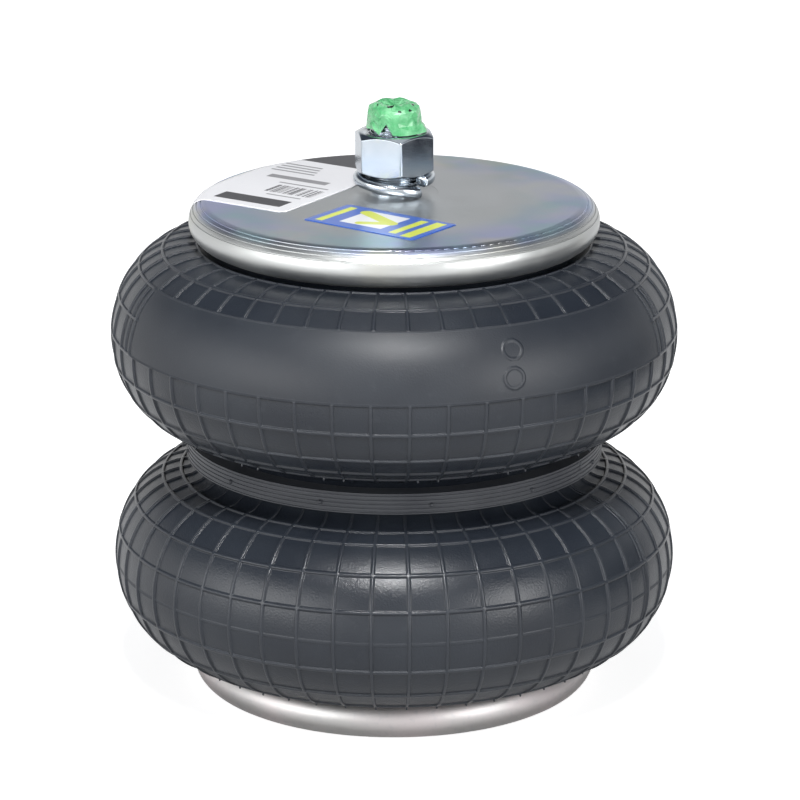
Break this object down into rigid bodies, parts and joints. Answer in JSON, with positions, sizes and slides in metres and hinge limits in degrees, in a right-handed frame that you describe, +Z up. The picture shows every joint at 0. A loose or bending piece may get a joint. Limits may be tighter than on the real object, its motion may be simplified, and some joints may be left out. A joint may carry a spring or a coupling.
{
  "type": "air bellows actuator",
  "caption": "Double-convolution air bellows with rolled bead plates, girdle hoop and a hollow threaded stud for air; it extends and shortens along its axis.",
  "frame": {"origin": "centre of the bottom bead plate's outer face", "axes": "+Z up along the bellows axis towards the stud, -Y is the front of the picture, the stud stands on the +Y side of the axis"},
  "size_m": [0.2218, 0.2218, 0.232],
  "materials": {
    "plate_zinc": "zinc plated and passivated, with a faint blue and yellow sheen",
    "base_zinc": "zinc plated, matt with a warm sheen",
    "bright_zinc": "bright zinc plated",
    "blind_nut_steel": "zinc plated",
    "cover_rubber": "moulded, semi-matt, with raised ribs",
    "cord_ply": "rubberised cord fabric",
    "liner_rubber": "smooth calendered rubber",
    "wire_steel": "brass-coated bead wire",
    "tape_film": "crumpled green film"
  },
  "bodies": {
    "base": {"base_plate": "base_zinc", "base_blind_nuts": "blind_nut_steel", "lower_bead_wires": "wire_steel", "lower_bead_core": "liner_rubber", "lower_outer_ply": "cord_ply", "lower_inner_ply": "cord_ply", "lower_liner": "liner_rubber", "lower_cover": "cover_rubber"},
    "girdle": {"girdle_hoop": "cover_rubber", "girdle_wires": "wire_steel"},
    "top": {"top_plate": "plate_zinc", "combination_stud": "bright_zinc", "spring_washer": "bright_zinc", "upper_cover": "cover_rubber", "upper_liner": "liner_rubber", "upper_inner_ply": "cord_ply", "upper_outer_ply": "cord_ply", "upper_bead_core": "liner_rubber", "upper_bead_wires": "wire_steel"},
    "nut": {"hex_nut": "bright_zinc"},
    "tape": {"dust_tape": "tape_film"}
  },
  "joints": [
    {"name": "lower_stroke", "type": "slide", "parent": "base", "child": "girdle", "axis": [0, 0, 1], "range_m": [-0.0595, 0.018], "stiffness_N_per_m": 3480, "springref_m": 0.0039, "deforming": ["lower_cover", "lower_outer_ply", "lower_inner_ply", "lower_liner"]},
    {"name": "upper_stroke", "type": "slide", "parent": "girdle", "child": "top", "axis": [0, 0, 1], "range_m": [-0.0595, 0.018], "stiffness_N_per_m": 3480, "springref_m": 0.0039, "deforming": ["upper_cover", "upper_outer_ply", "upper_inner_ply", "upper_liner"]},
    {"name": "nut_turn", "type": "hinge", "parent": "top", "child": "nut", "pos_m": [0, 0.012, 0.2115], "axis": [0, 0, 1], "continuous": true},
    {"name": "dust_tape_lift", "type": "slide", "parent": "top", "child": "tape", "axis": [0, 0, 1], "range_m": [0, 0.06]}
  ],
  "couplings": [
    {"joint": "upper_stroke", "follows": "lower_stroke", "ratio": 1}
  ]
}
